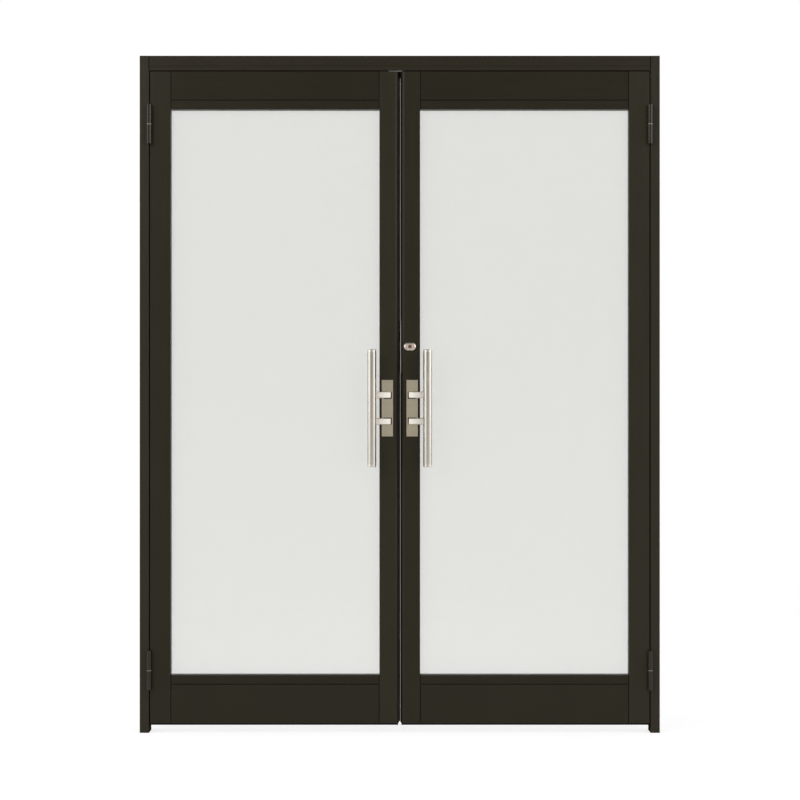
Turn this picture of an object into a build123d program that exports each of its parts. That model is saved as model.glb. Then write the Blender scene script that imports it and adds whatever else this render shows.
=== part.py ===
"""Pair of glazed aluminium entrance doors in a three-sided frame, in millimetres.

+X runs to the right seen from outside, +Y runs inwards and +Z up. The origin is on the floor, midway
between the jambs and in the middle of the leaves' thickness. Pieces that come in pairs are drawn on
the right and mirrored to the left.
"""
from build123d import *
from math import cos, radians, sin, sqrt
import os

# Frame: two jambs that run full height, a head between them and no sill
FRAME_WIDTH = 1690.0
FRAME_HEIGHT = 2200.0
JAMB_FACE = 30.0
HEAD_FACE = 48.0
FRAME_WALL = 2.0
STOP_REACH = 16.0
STOP_DEPTH = 26.0
HEAD_LINE_RISE = 13.0
HEAD_LINE_WIDTH = 2.0
HEAD_LINE_DEPTH = 1.0

# Gaps round and between the leaves
SIDE_GAP = 3.5
HEAD_GAP = 3.0
MEETING_GAP = 4.0
FOOT_GAP = 32.0
STOP_GAP = 4.0

# Extruded leaf sections
LEAF_THICKNESS = 40.0
HINGE_STILE_WIDTH = 67.0
MEETING_STILE_WIDTH = 64.0
SECTION_WALL = 2.0
EDGE_RADIUS = 1.0
TOP_RAIL_HEIGHT = 92.0
BOTTOM_RAIL_HEIGHT = 125.0
BEAD_HEIGHT = 31.0
BEAD_WALL = 1.6
BEAD_GROOVE_WIDTH = 2.5
BEAD_GROOVE_DEPTH = 7.0
JOINT_LINE_WIDTH = 2.0
JOINT_LINE_DEPTH = 6.0

# Rounded nose of a meeting stile
NOSE_DEPTH = 12.0
NOSE_STEP = 1.5
NOSE_WALL = 6.0

# Glass in its rubber channel
GLASS_THICKNESS = 5.0
POCKET_DEPTH = 15.0
POCKET_WIDTH = 10.4
CHANNEL_BASE = 2.0

# Brackets inside the corners of a leaf
CLEAT_LENGTH = 45.0
CLEAT_HEIGHT = 60.0
CLEAT_WALL = 4.0

# Bulb seals in the frame stop
SEAL_ROOT_WIDTH = 4.0
SEAL_ROOT_DEPTH = 4.0
SEAL_BULB_WIDTH = 7.0
SEAL_BULB_RADIUS = 1.6
SEAL_INSET = 6.0
SEAL_CLEARANCE = 0.3

# Sweep under each leaf
SWEEP_HEIGHT = 6.5
SWEEP_WIDTH = 32.0
SWEEP_ROOT_WIDTH = 6.0
SWEEP_ROOT_DEPTH = 4.0
SWEEP_END_GAP = 3.0
SWEEP_HOLE_GAP = 1.5

# Fin that closes the gap between the noses
FIN_THICKNESS = 2.0
FIN_SETBACK = 12.0
FIN_ROOT = 4.0
FIN_CLEARANCE = 0.4
FIN_END_GAP = 2.0

# Flag hinges, two to a leaf
HINGE_INSET = 172.0
KNUCKLE_RADIUS = 8.0
KNUCKLE_LENGTH = 62.0
KNUCKLE_GAP = 1.0
FLAG_REACH = 26.0
FLAG_CLEARANCE = 0.5
PIN_RADIUS = 4.0
PIN_CLEARANCE = 0.05
PIN_CAP = 4.0
PIN_END_GAP = 0.3
WASHER_THICKNESS = 3.0
WASHER_GAP = 0.1

# Pull handles, one on each face of each leaf
HANDLE_HEIGHT = 1055.0
BAR_RADIUS = 14.0
BAR_WALL = 1.5
BAR_LENGTH = 380.0
BAR_STANDOFF = 36.0
BAR_OFFSET = 50.5
CAP_LENGTH = 6.0
CAP_BEVEL = 1.2
CAP_NECK = 2.0
CAP_SPIGOT = 12.0
SPIGOT_CLEARANCE = 0.05
PLATE_WIDTH = 36.5
PLATE_HEIGHT = 184.0
PLATE_THICKNESS = 4.0
PLATE_BEVEL = 1.0
ARM_SPACING = 86.0
ARM_HEIGHT = 20.0
ARM_THICKNESS = 10.0
ARM_INSET = 10.5
ARM_RADIUS = 161.0
ARM_SLOPE_DEGREES = 30.0
ARM_PAST_BAR = 7.0
ARM_BEVEL = 1.5
ARM_SADDLE_CLEARANCE = 0.05
SLOT_SIDE_GAP = 3.5
SLOT_END_GAP = 2.5

# Face plates let into the noses
FRONT_WIDTH = 16.0
FRONT_THICKNESS = 2.5
FRONT_INSET = 0.4

# Deadlock in the right meeting stile
LOCK_RISE = 108.0
BACKSET = 30.5
LOCK_FRONT_HEIGHT = 170.0
CASE_HEIGHT = 110.0
CASE_THICKNESS = 16.0
CASE_BEHIND = 13.0
CASE_CLEARANCE = 0.2
DEADBOLT_HEIGHT = 30.0
DEADBOLT_THICKNESS = 10.0
DEADBOLT_THROW = 15.0
DEADBOLT_PROUD = 1.2
DEADBOLT_CLEARANCE = 0.15
DEADBOLT_TAIL_GAP = 1.0
FOLLOWER_RADIUS = 8.0
TURN_CLEARANCE = 0.05
SPINDLE_SIDE = 6.0
SPINDLE_CLEARANCE = 0.1

# Key cylinder outside and thumb turn inside
ROSE_WIDTH = 38.0
ROSE_HEIGHT = 25.0
ROSE_THICKNESS = 7.0
ROSE_BEVEL = 3.5
CYLINDER_RADIUS = 8.5
CYLINDER_PROUD = 1.0
CYLINDER_CLEARANCE = 0.1
PLUG_RADIUS = 6.0
KEYWAY_WIDTH = 2.0
KEYWAY_HEIGHT = 8.0
KEYWAY_DEPTH = 12.0
TURN_HUB_RADIUS = 8.0
TURN_HUB_LENGTH = 5.0
TURN_WING_LENGTH = 34.0
TURN_WING_THICKNESS = 8.0
TURN_WING_DEPTH = 15.0
TURN_WING_BEVEL = 1.5
TURN_GAP = 0.3
TURN_SOCKET_DEPTH = 8.0

# Strike in the left meeting stile
STRIKE_HEIGHT = 90.0
STRIKE_CLEARANCE = 1.0

# Flush bolts at the top and foot of the left meeting stile
FLUSH_INSET = 90.0
FLUSH_FRONT_HEIGHT = 180.0
FLUSH_BODY_MARGIN = 12.0
FLUSH_BODY_THICKNESS = 14.0
FLUSH_BODY_WALL = 3.0
FLUSH_CLEARANCE = 0.2
ROD_RADIUS = 5.0
ROD_CLEARANCE = 0.05
ROD_NOSE_GAP = 1.0
ROD_INSET = 2.0
ROD_TAIL = 40.0
ROD_TRAVEL = 20.0
SLIDER_WIDTH = 8.0
SLIDER_HEIGHT = 14.0
SLIDER_CLEARANCE = 0.4
KEEPER_LENGTH = 44.0
KEEPER_WIDTH = 26.0
KEEPER_THICKNESS = 2.0
KEEPER_CLEARANCE = 0.6
KEEPER_POCKET_GAP = 1.5

# Holes that take the wall screws, in each jamb
FIXING_RADIUS = 3.5
FIXING_END = 200.0
FIXINGS_PER_JAMB = 4

# How far a cut runs past the face that it opens
OVERRUN = 1.0

# Places worked out from the sizes above
HALF_WIDTH = FRAME_WIDTH / 2
JAMB_INNER = HALF_WIDTH - JAMB_FACE
FRONT_Y = -LEAF_THICKNESS / 2
BACK_Y = LEAF_THICKNESS / 2
STOP_Y = BACK_Y + STOP_GAP
FRAME_BACK_Y = STOP_Y + STOP_DEPTH
HEAD_UNDER = FRAME_HEIGHT - HEAD_FACE
LEAF_OUTER = JAMB_INNER - SIDE_GAP
LEAF_INNER = MEETING_GAP / 2
LEAF_TOP = HEAD_UNDER - HEAD_GAP
LEAF_BOTTOM = FOOT_GAP
RAIL_START = LEAF_INNER + MEETING_STILE_WIDTH
RAIL_END = LEAF_OUTER - HINGE_STILE_WIDTH
SIGHT_BOTTOM = LEAF_BOTTOM + BOTTOM_RAIL_HEIGHT + BEAD_HEIGHT
SIGHT_TOP = LEAF_TOP - TOP_RAIL_HEIGHT - BEAD_HEIGHT
SHOULDER = LEAF_INNER + NOSE_DEPTH
NOSE_HALF_CHORD = LEAF_THICKNESS / 2 - NOSE_STEP
NOSE_RADIUS = (NOSE_HALF_CHORD**2 + NOSE_DEPTH**2) / (2 * NOSE_DEPTH)
NOSE_CENTRE = LEAF_INNER + NOSE_RADIUS
POCKET_HALF = POCKET_WIDTH / 2
HINGE_X = JAMB_INNER - SIDE_GAP / 2
HINGE_Y = FRONT_Y - KNUCKLE_GAP - KNUCKLE_RADIUS
HINGE_HEIGHTS = {"upper": LEAF_TOP - HINGE_INSET, "lower": LEAF_BOTTOM + HINGE_INSET}
FLAG_THICKNESS = SIDE_GAP - FLAG_CLEARANCE
PLATE_CENTRE = (SHOULDER + RAIL_START) / 2
BAR_X = PLATE_CENTRE + BAR_OFFSET
BAR_Y = FRONT_Y - BAR_STANDOFF
PLATE_FRONT = FRONT_Y - PLATE_THICKNESS
ARM_LEFT = PLATE_CENTRE - ARM_INSET
ARM_DEPTH = ARM_RADIUS * cos(radians(ARM_SLOPE_DEGREES))
ARM_CENTRE_X = ARM_LEFT + ARM_RADIUS * sin(radians(ARM_SLOPE_DEGREES))
ARM_CENTRE_Y = PLATE_FRONT + ARM_DEPTH
ARM_RIGHT = ARM_CENTRE_X - sqrt((ARM_RADIUS - ARM_THICKNESS) ** 2 - ARM_DEPTH**2)
FRONT_FACE = LEAF_INNER + FRONT_INSET
FRONT_FLOOR = FRONT_FACE + FRONT_THICKNESS
LOCK_X = FRONT_FACE + BACKSET
LOCK_HEIGHT = HANDLE_HEIGHT + PLATE_HEIGHT / 2 + LOCK_RISE
CASE_Y = CASE_THICKNESS / 2
ROD_X = LEAF_INNER + NOSE_WALL + ROD_NOSE_GAP + ROD_RADIUS
FLUSH_MIDDLE = LEAF_TOP - FLUSH_INSET - FLUSH_FRONT_HEIGHT / 2
FIXING_Y = STOP_Y + STOP_DEPTH / 2
FIXING_STEP = (FRAME_HEIGHT - 2 * FIXING_END) / (FIXINGS_PER_JAMB - 1)
FIXING_HEIGHTS = [FIXING_END + n * FIXING_STEP for n in range(FIXINGS_PER_JAMB)]

parts = {}


def block(x0, x1, y0, y1, z0, z1):
    """A box between two opposite corners."""
    return Pos((x0 + x1) / 2, (y0 + y1) / 2, (z0 + z1) / 2) * Box(x1 - x0, y1 - y0, z1 - z0)


def area(u0, u1, v0, v1):
    """A flat rectangle between two opposite corners."""
    return Pos((u0 + u1) / 2, (v0 + v1) / 2) * Rectangle(u1 - u0, v1 - v0)


def upright(section, z0, z1):
    """A section drawn in X and Y, extruded up."""
    return Pos(0, 0, z0) * extrude(section, amount=z1 - z0)


def crosswise(section, x0, x1):
    """A section drawn in Z and Y, extruded along X."""
    plane = Plane(origin=(x1, 0, 0), x_dir=(0, 0, 1), z_dir=(-1, 0, 0))
    return extrude(plane * section, amount=x1 - x0)


def rod_up(x, y, radius, z0, z1):
    return Pos(x, y, (z0 + z1) / 2) * Cylinder(radius, z1 - z0)


def rod_inwards(x, z, radius, y0, y1):
    return Pos(x, (y0 + y1) / 2, z) * Rot(90, 0, 0) * Cylinder(radius, y1 - y0)


def rod_sideways(y, z, radius, x0, x1):
    return Pos((x0 + x1) / 2, y, z) * Rot(0, 90, 0) * Cylinder(radius, x1 - x0)


def on_side(shape, side):
    """A shape drawn on the right, mirrored if it belongs on the left."""
    return shape if side == "right" else shape.mirror(Plane.YZ)


def upside_down(shape, top):
    """A shape drawn upwards from zero, turned over so that it hangs from a height."""
    return Pos(0, 0, top) * shape.mirror(Plane.XY)


def together(shapes):
    """Separate solids kept as one group."""
    group = shapes[0]
    for shape in shapes[1:]:
        group = group + shape
    return group


# Frame


def frame_section(face):
    """Hollow L-section: the face outwards of the opening's edge at zero, the stop inwards of it."""
    outer = area(0, face, FRONT_Y, FRAME_BACK_Y)
    outer = fillet(outer.vertices().group_by(Axis.Y)[0], EDGE_RADIUS)
    outer += area(-STOP_REACH, FRAME_WALL, STOP_Y, FRAME_BACK_Y)
    hollow = area(FRAME_WALL, face - FRAME_WALL, FRONT_Y + FRAME_WALL, FRAME_BACK_Y - FRAME_WALL)
    hollow += area(FRAME_WALL - STOP_REACH, 2 * FRAME_WALL, STOP_Y + FRAME_WALL, FRAME_BACK_Y - FRAME_WALL)
    middle = SEAL_INSET - STOP_REACH
    half = SEAL_ROOT_WIDTH / 2
    groove = area(middle - half, middle + half, STOP_Y, STOP_Y + SEAL_ROOT_DEPTH)
    lining_half = half + FRAME_WALL
    lining_depth = SEAL_ROOT_DEPTH + FRAME_WALL
    lining = area(middle - lining_half, middle + lining_half, STOP_Y, STOP_Y + lining_depth)
    return outer - (hollow - lining) - groove


def jamb():
    """Full-height jamb whose stop is cut off level with the leaf's underside, and the cut closed."""
    shape = upright(Pos(JAMB_INNER, 0) * frame_section(JAMB_FACE), 0, FRAME_HEIGHT)
    shape -= block(
        JAMB_INNER - STOP_REACH - OVERRUN, JAMB_INNER,
        STOP_Y - OVERRUN, FRAME_BACK_Y + OVERRUN,
        -OVERRUN, LEAF_BOTTOM,
    )
    shape += block(JAMB_INNER, JAMB_INNER + FRAME_WALL, STOP_Y, FRAME_BACK_Y, 0, LEAF_BOTTOM)
    for height in FIXING_HEIGHTS:
        inner = JAMB_INNER - STOP_REACH - OVERRUN
        shape -= rod_sideways(FIXING_Y, height, FIXING_RADIUS, inner, HALF_WIDTH + OVERRUN)
    return shape


def head():
    """Head between the jambs, with a fine line along its face, notched round their stops."""
    shape = crosswise(Pos(HEAD_UNDER, 0) * frame_section(HEAD_FACE), -JAMB_INNER, JAMB_INNER)
    for side in ("left", "right"):
        jamb_stop = block(
            JAMB_INNER - STOP_REACH, JAMB_INNER + OVERRUN,
            STOP_Y, FRAME_BACK_Y + OVERRUN,
            HEAD_UNDER - STOP_REACH - OVERRUN, FRAME_HEIGHT + OVERRUN,
        )
        shape -= on_side(jamb_stop, side)
    line_foot = HEAD_UNDER + HEAD_LINE_RISE
    shape -= block(
        -HALF_WIDTH, HALF_WIDTH,
        FRONT_Y - OVERRUN, FRONT_Y + HEAD_LINE_DEPTH,
        line_foot, line_foot + HEAD_LINE_WIDTH,
    )
    pocket_radius = ROD_RADIUS + KEEPER_POCKET_GAP
    return shape - rod_up(-ROD_X, 0, pocket_radius, HEAD_UNDER - OVERRUN, HEAD_UNDER + 2 * FRAME_WALL)


def frame_seal_section():
    """Root in the stop's groove and a bulb that reaches to the back of the leaf."""
    middle = SEAL_INSET - STOP_REACH
    half = SEAL_ROOT_WIDTH / 2
    bulb_half = SEAL_BULB_WIDTH / 2
    bulb = area(middle - bulb_half, middle + bulb_half, BACK_Y + SEAL_CLEARANCE, STOP_Y)
    bulb = fillet(bulb.vertices().group_by(Axis.Y)[0], SEAL_BULB_RADIUS)
    return bulb + area(middle - half, middle + half, STOP_Y, STOP_Y + SEAL_ROOT_DEPTH)


def frame_seals():
    foot_to_head = upright(Pos(JAMB_INNER, 0) * frame_seal_section(), LEAF_BOTTOM, HEAD_UNDER - STOP_REACH)
    reach = JAMB_INNER - STOP_REACH
    across = crosswise(Pos(HEAD_UNDER, 0) * frame_seal_section(), -reach, reach)
    return together([on_side(foot_to_head, "left"), across, foot_to_head])


def head_keeper():
    foot = HEAD_UNDER - KEEPER_THICKNESS
    plate = block(
        -ROD_X - KEEPER_LENGTH / 2, -ROD_X + KEEPER_LENGTH / 2,
        -KEEPER_WIDTH / 2, KEEPER_WIDTH / 2,
        foot, HEAD_UNDER,
    )
    return plate - rod_up(-ROD_X, 0, ROD_RADIUS + KEEPER_CLEARANCE, foot - OVERRUN, HEAD_UNDER + OVERRUN)


# Hinges


def flag(x0, x1, z0, z1, bore_z0, bore_z1):
    """Knuckle with a flat flag that runs back into the gap, bored from the end that meets the washer."""
    knuckle = rod_up(HINGE_X, HINGE_Y, KNUCKLE_RADIUS, z0, z1)
    plate = block(x0, x1, HINGE_Y, FRONT_Y + FLAG_REACH, z0, z1)
    bore = rod_up(HINGE_X, HINGE_Y, PIN_RADIUS + PIN_CLEARANCE, bore_z0, bore_z1)
    return knuckle + plate - bore


def frame_flag(height):
    top = height - WASHER_THICKNESS / 2
    foot = top - KNUCKLE_LENGTH
    return flag(JAMB_INNER - FLAG_THICKNESS, JAMB_INNER, foot, top, foot + PIN_CAP, top + OVERRUN)


def leaf_flag(height):
    foot = height + WASHER_THICKNESS / 2
    top = foot + KNUCKLE_LENGTH
    return flag(LEAF_OUTER, LEAF_OUTER + FLAG_THICKNESS, foot, top, foot - OVERRUN, top - PIN_CAP)


def hinge_pin(height):
    half = WASHER_THICKNESS / 2 + KNUCKLE_LENGTH - PIN_CAP
    return rod_up(HINGE_X, HINGE_Y, PIN_RADIUS, height - half, height + half - PIN_END_GAP)


def hinge_washer(height):
    foot = height - WASHER_THICKNESS / 2
    top = foot + WASHER_THICKNESS - WASHER_GAP
    ring = rod_up(HINGE_X, HINGE_Y, KNUCKLE_RADIUS, foot, top)
    return ring - rod_up(HINGE_X, HINGE_Y, PIN_RADIUS + PIN_CLEARANCE, foot - OVERRUN, top + OVERRUN)


def all_hinges(piece):
    """One piece of every hinge, on both sides."""
    shapes = []
    for side in ("left", "right"):
        shapes += [on_side(piece(height), side) for height in HINGE_HEIGHTS.values()]
    return together(shapes)


# Leaves


def glass_pocket(edge, inwards, wall):
    """The slot for the glass in a stile, from its edge inwards, widened by a wall."""
    depth = inwards * (POCKET_DEPTH + wall)
    return area(min(edge, edge + depth), max(edge, edge + depth), -POCKET_HALF - wall, POCKET_HALF + wall)


def hinge_stile():
    outer = area(RAIL_END, LEAF_OUTER, FRONT_Y, BACK_Y)
    outer = fillet(outer.vertices(), EDGE_RADIUS)
    hollow = area(
        RAIL_END + SECTION_WALL, LEAF_OUTER - SECTION_WALL, FRONT_Y + SECTION_WALL, BACK_Y - SECTION_WALL
    )
    hollow -= glass_pocket(RAIL_END, 1, SECTION_WALL)
    return upright(outer - hollow - glass_pocket(RAIL_END, 1, 0), LEAF_BOTTOM, LEAF_TOP)


def nose(radius, start, end):
    """Slice of a circle about the nose's centre."""
    return Pos(NOSE_CENTRE, 0) * Circle(radius) & area(start, end, FRONT_Y, BACK_Y)


def meeting_stile():
    inner = SHOULDER + SECTION_WALL
    outer = area(SHOULDER, RAIL_START, FRONT_Y, BACK_Y)
    outer = fillet(outer.vertices(), EDGE_RADIUS)
    outer += nose(NOSE_RADIUS, LEAF_INNER - OVERRUN, inner)
    hollow = area(inner, RAIL_START - SECTION_WALL, FRONT_Y + SECTION_WALL, BACK_Y - SECTION_WALL)
    hollow += nose(NOSE_RADIUS - NOSE_WALL, LEAF_INNER, inner + SECTION_WALL)
    hollow -= glass_pocket(RAIL_START, -1, SECTION_WALL)
    return upright(outer - hollow - glass_pocket(RAIL_START, -1, 0), LEAF_BOTTOM, LEAF_TOP)


def rail_section(height, slot_depth):
    """Hollow rail from the leaf's edge at zero, with the glass seat and the fixed inner lip beyond it."""
    wall = SECTION_WALL
    seat = height + BEAD_HEIGHT - POCKET_DEPTH
    sight = height + BEAD_HEIGHT
    outer = area(0, height, FRONT_Y, BACK_Y)
    outer += area(height - wall, seat, -POCKET_HALF, BACK_Y)
    outer += area(height - wall, sight, POCKET_HALF, BACK_Y)
    hollow = area(wall, height - wall, FRONT_Y + wall, BACK_Y - wall)
    lip = area(height, seat - wall, wall - POCKET_HALF, BACK_Y - wall)
    lip += area(height, sight - wall, POCKET_HALF + wall, BACK_Y - wall)
    if slot_depth == 0:
        return outer - hollow - lip
    half = SWEEP_ROOT_WIDTH / 2
    lining = area(0, slot_depth + wall, -half - wall, half + wall)
    return outer - (hollow - lining) - lip - area(0, slot_depth, -half, half)


def bead_section(height):
    """Hollow snap-in bead on the outer face, with a groove where it meets the rail."""
    sight = height + BEAD_HEIGHT
    groove_y = FRONT_Y + BEAD_GROOVE_DEPTH
    outer = area(height, sight, FRONT_Y, -POCKET_HALF)
    outer -= area(height, height + BEAD_GROOVE_WIDTH, FRONT_Y, groove_y)
    hollow = area(height + BEAD_WALL, sight - BEAD_WALL, groove_y + BEAD_WALL, -POCKET_HALF - BEAD_WALL)
    below = height + BEAD_GROOVE_WIDTH + BEAD_WALL
    hollow += area(below, sight - BEAD_WALL, FRONT_Y + BEAD_WALL, -POCKET_HALF - BEAD_WALL)
    return outer - hollow


def between_stiles(section):
    return crosswise(section, RAIL_START, RAIL_END)


def at_both_ends(shape):
    """A shape drawn at the meeting stile, there and at the hinge stile."""
    rail_middle = (RAIL_START + RAIL_END) / 2
    return [shape, shape.mirror(Plane(origin=(rail_middle, 0, 0), z_dir=(1, 0, 0)))]


def joint_lines():
    """Narrow open lines on the outer face, where rails and beads meet the stiles."""
    line = block(
        RAIL_START - OVERRUN, RAIL_START + JOINT_LINE_WIDTH,
        FRONT_Y - OVERRUN, FRONT_Y + JOINT_LINE_DEPTH,
        0, FRAME_HEIGHT,
    )
    return together(at_both_ends(line))


def glass_block(edge, thickness):
    """The pane grown by an edge, with a given thickness."""
    grow = POCKET_DEPTH - CHANNEL_BASE + edge
    return block(
        RAIL_START - grow, RAIL_END + grow,
        -thickness / 2, thickness / 2,
        SIGHT_BOTTOM - grow, SIGHT_TOP + grow,
    )


def glazing_channel():
    """U-shaped rubber round the pane's four edges, level with the sight line."""
    window = block(
        RAIL_START, RAIL_END, -POCKET_WIDTH, POCKET_WIDTH, SIGHT_BOTTOM, SIGHT_TOP
    )
    return glass_block(CHANNEL_BASE, POCKET_WIDTH) - window - glass_block(0, GLASS_THICKNESS)


def corner_cleat(middle):
    """U-shaped bracket against a stile, inside the end of a rail."""
    reach = BACK_Y - SECTION_WALL
    z0 = middle - CLEAT_HEIGHT / 2
    z1 = middle + CLEAT_HEIGHT / 2
    solid = block(RAIL_START, RAIL_START + CLEAT_LENGTH, -reach, reach, z0, z1)
    inner = reach - CLEAT_WALL
    return solid - block(
        RAIL_START + CLEAT_WALL, RAIL_START + CLEAT_LENGTH + OVERRUN,
        -inner, inner,
        z0 - OVERRUN, z1 + OVERRUN,
    )


def corner_cleats():
    shapes = []
    for middle in (LEAF_TOP - TOP_RAIL_HEIGHT / 2, LEAF_BOTTOM + BOTTOM_RAIL_HEIGHT / 2):
        shapes += at_both_ends(corner_cleat(middle))
    return together(shapes)


def sweep(side):
    """Rubber strip under the leaf, rooted in the bottom rail and holed for the left leaf's rod."""
    top = LEAF_BOTTOM
    foot = top - SWEEP_HEIGHT
    strip = block(
        LEAF_INNER + SWEEP_END_GAP, LEAF_OUTER - SWEEP_END_GAP, -SWEEP_WIDTH / 2, SWEEP_WIDTH / 2, foot, top
    )
    half = SWEEP_ROOT_WIDTH / 2
    strip += block(RAIL_START, RAIL_END, -half, half, top, top + SWEEP_ROOT_DEPTH)
    if side == "left":
        strip -= rod_up(ROD_X, 0, ROD_RADIUS + SWEEP_HOLE_GAP, foot - OVERRUN, top + OVERRUN)
    return strip


def fin_slot():
    """Where the fin stands, from inside the left nose to just short of the right one."""
    front = FIN_SETBACK - FIN_THICKNESS / 2
    back = FIN_SETBACK + FIN_THICKNESS / 2
    surface = NOSE_CENTRE - sqrt(NOSE_RADIUS**2 - back**2)
    return block(FIN_CLEARANCE - LEAF_INNER, surface + FIN_ROOT, front, back, LEAF_BOTTOM, LEAF_TOP)


def meeting_fin():
    trim = block(
        -RAIL_START, RAIL_START,
        -LEAF_THICKNESS, LEAF_THICKNESS,
        LEAF_BOTTOM + FIN_END_GAP, LEAF_TOP - FIN_END_GAP,
    )
    return fin_slot() & trim


# Handles, drawn on the outer face


def handle_bar():
    half = BAR_LENGTH / 2 - CAP_LENGTH - CAP_NECK
    tube = rod_up(BAR_X, BAR_Y, BAR_RADIUS, HANDLE_HEIGHT - half, HANDLE_HEIGHT + half)
    bore_half = half + OVERRUN
    return tube - rod_up(
        BAR_X, BAR_Y, BAR_RADIUS - BAR_WALL, HANDLE_HEIGHT - bore_half, HANDLE_HEIGHT + bore_half
    )


def end_cap():
    """Disc on a spigot that enters the tube, with a neck between them."""
    top = HANDLE_HEIGHT + BAR_LENGTH / 2
    under = top - CAP_LENGTH
    disc = rod_up(BAR_X, BAR_Y, BAR_RADIUS, under, top)
    disc = chamfer(disc.edges().filter_by(GeomType.CIRCLE).sort_by(Axis.Z)[-1], CAP_BEVEL)
    spigot_radius = BAR_RADIUS - BAR_WALL - SPIGOT_CLEARANCE
    return disc + rod_up(BAR_X, BAR_Y, spigot_radius, under - CAP_NECK - CAP_SPIGOT, under)


def handle_plate():
    """Flat plate with a slot round each arm's foot, wider on the inner side and towards the middle."""
    half = PLATE_HEIGHT / 2
    plate = block(
        PLATE_CENTRE - PLATE_WIDTH / 2, PLATE_CENTRE + PLATE_WIDTH / 2,
        PLATE_FRONT, FRONT_Y,
        HANDLE_HEIGHT - half, HANDLE_HEIGHT + half,
    )
    plate = chamfer(plate.faces().sort_by(Axis.Y)[0].edges(), PLATE_BEVEL)
    outer_end = ARM_SPACING / 2 + ARM_HEIGHT / 2
    inner_end = ARM_SPACING / 2 - ARM_HEIGHT / 2 - SLOT_END_GAP
    for way in (-1, 1):
        plate -= block(
            ARM_LEFT - SLOT_SIDE_GAP, ARM_RIGHT,
            PLATE_FRONT - OVERRUN, FRONT_Y + OVERRUN,
            HANDLE_HEIGHT + min(way * inner_end, way * outer_end),
            HANDLE_HEIGHT + max(way * inner_end, way * outer_end),
        )
    return plate


def handle_arm(way):
    """Flat bar that leaves the plate at a slope and curves round behind the pull bar."""
    ring = Pos(ARM_CENTRE_X, ARM_CENTRE_Y) * (Circle(ARM_RADIUS) - Circle(ARM_RADIUS - ARM_THICKNESS))
    sweep_end = BAR_X + ARM_PAST_BAR
    curve = ring & area(ARM_LEFT, sweep_end, ARM_CENTRE_Y - ARM_RADIUS - OVERRUN, PLATE_FRONT)
    curve += area(ARM_LEFT, ARM_RIGHT, PLATE_FRONT, FRONT_Y)
    middle = HANDLE_HEIGHT + way * ARM_SPACING / 2
    arm = upright(curve, middle - ARM_HEIGHT / 2, middle + ARM_HEIGHT / 2)
    ends = arm.faces().filter_by(Axis.Z)
    rims = [edge for face in ends for edge in face.edges() if edge.center().Y < PLATE_FRONT]
    arm = chamfer(rims, ARM_BEVEL)
    return arm - rod_up(
        BAR_X, BAR_Y, BAR_RADIUS + ARM_SADDLE_CLEARANCE, middle - ARM_HEIGHT, middle + ARM_HEIGHT
    )


def on_both_faces(shapes):
    """Copies of shapes drawn on the outer face, there and on the inner face."""
    return together(shapes + [shape.mirror(Plane.XZ) for shape in shapes])


# Lock, strike and flush bolts


def nose_pocket(middle, height):
    """Recess in a nose for a face plate."""
    half = FRONT_WIDTH / 2
    return block(LEAF_INNER - OVERRUN, FRONT_FLOOR, -half, half, middle - height / 2, middle + height / 2)


def face_plate(middle, height):
    half = FRONT_WIDTH / 2
    return block(FRONT_FACE, FRONT_FLOOR, -half, half, middle - height / 2, middle + height / 2)


def nose_mortise(middle, height, thickness):
    """Opening through the floor of the recess into the hollow stile."""
    half = thickness / 2
    return block(FRONT_FACE, SHOULDER + SECTION_WALL, -half, half, middle - height / 2, middle + height / 2)


def deadbolt_block(start, clearance):
    half = DEADBOLT_THICKNESS / 2 + clearance
    reach = DEADBOLT_HEIGHT / 2 + clearance
    tail = LOCK_X - FOLLOWER_RADIUS - DEADBOLT_TAIL_GAP + clearance
    return block(start, tail, -half, half, LOCK_HEIGHT - reach, LOCK_HEIGHT + reach)


def lock_case():
    """Case riveted to its face plate, open for the bolt, the follower and the spindle."""
    half = CASE_HEIGHT / 2
    case = block(
        FRONT_FLOOR, LOCK_X + CASE_BEHIND, -CASE_Y, CASE_Y, LOCK_HEIGHT - half, LOCK_HEIGHT + half
    )
    case += face_plate(LOCK_HEIGHT, LOCK_FRONT_HEIGHT)
    case -= deadbolt_block(FRONT_FACE - OVERRUN, DEADBOLT_CLEARANCE)
    reach = CASE_Y + OVERRUN
    return case - rod_inwards(LOCK_X, LOCK_HEIGHT, FOLLOWER_RADIUS + TURN_CLEARANCE, -reach, reach)


def deadbolt():
    return deadbolt_block(FRONT_FACE - DEADBOLT_PROUD, 0)


def spindle_bar(clearance, y0, y1):
    half = SPINDLE_SIDE / 2 + clearance
    return block(LOCK_X - half, LOCK_X + half, y0, y1, LOCK_HEIGHT - half, LOCK_HEIGHT + half)


def lock_spindle():
    """Round follower in the case on a square bar that runs from the plug to the thumb turn."""
    follower = rod_inwards(LOCK_X, LOCK_HEIGHT, FOLLOWER_RADIUS, -CASE_Y, CASE_Y)
    end = BACK_Y + ROSE_THICKNESS + TURN_GAP + TURN_SOCKET_DEPTH - SPINDLE_CLEARANCE
    return follower + spindle_bar(0, -CASE_Y - CYLINDER_PROUD + SPINDLE_CLEARANCE, end)


def rose(hole_radius):
    """Oval rose on the outer face, with a round hole."""
    plane = Plane(origin=(LOCK_X, FRONT_Y, LOCK_HEIGHT), x_dir=(1, 0, 0), z_dir=(0, -1, 0))
    shape = extrude(plane * SlotOverall(ROSE_WIDTH, ROSE_HEIGHT), amount=ROSE_THICKNESS)
    shape = chamfer(shape.faces().sort_by(Axis.Y)[0].edges(), ROSE_BEVEL)
    front = FRONT_Y - ROSE_THICKNESS - OVERRUN
    return shape - rod_inwards(LOCK_X, LOCK_HEIGHT, hole_radius, front, FRONT_Y + OVERRUN)


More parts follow.
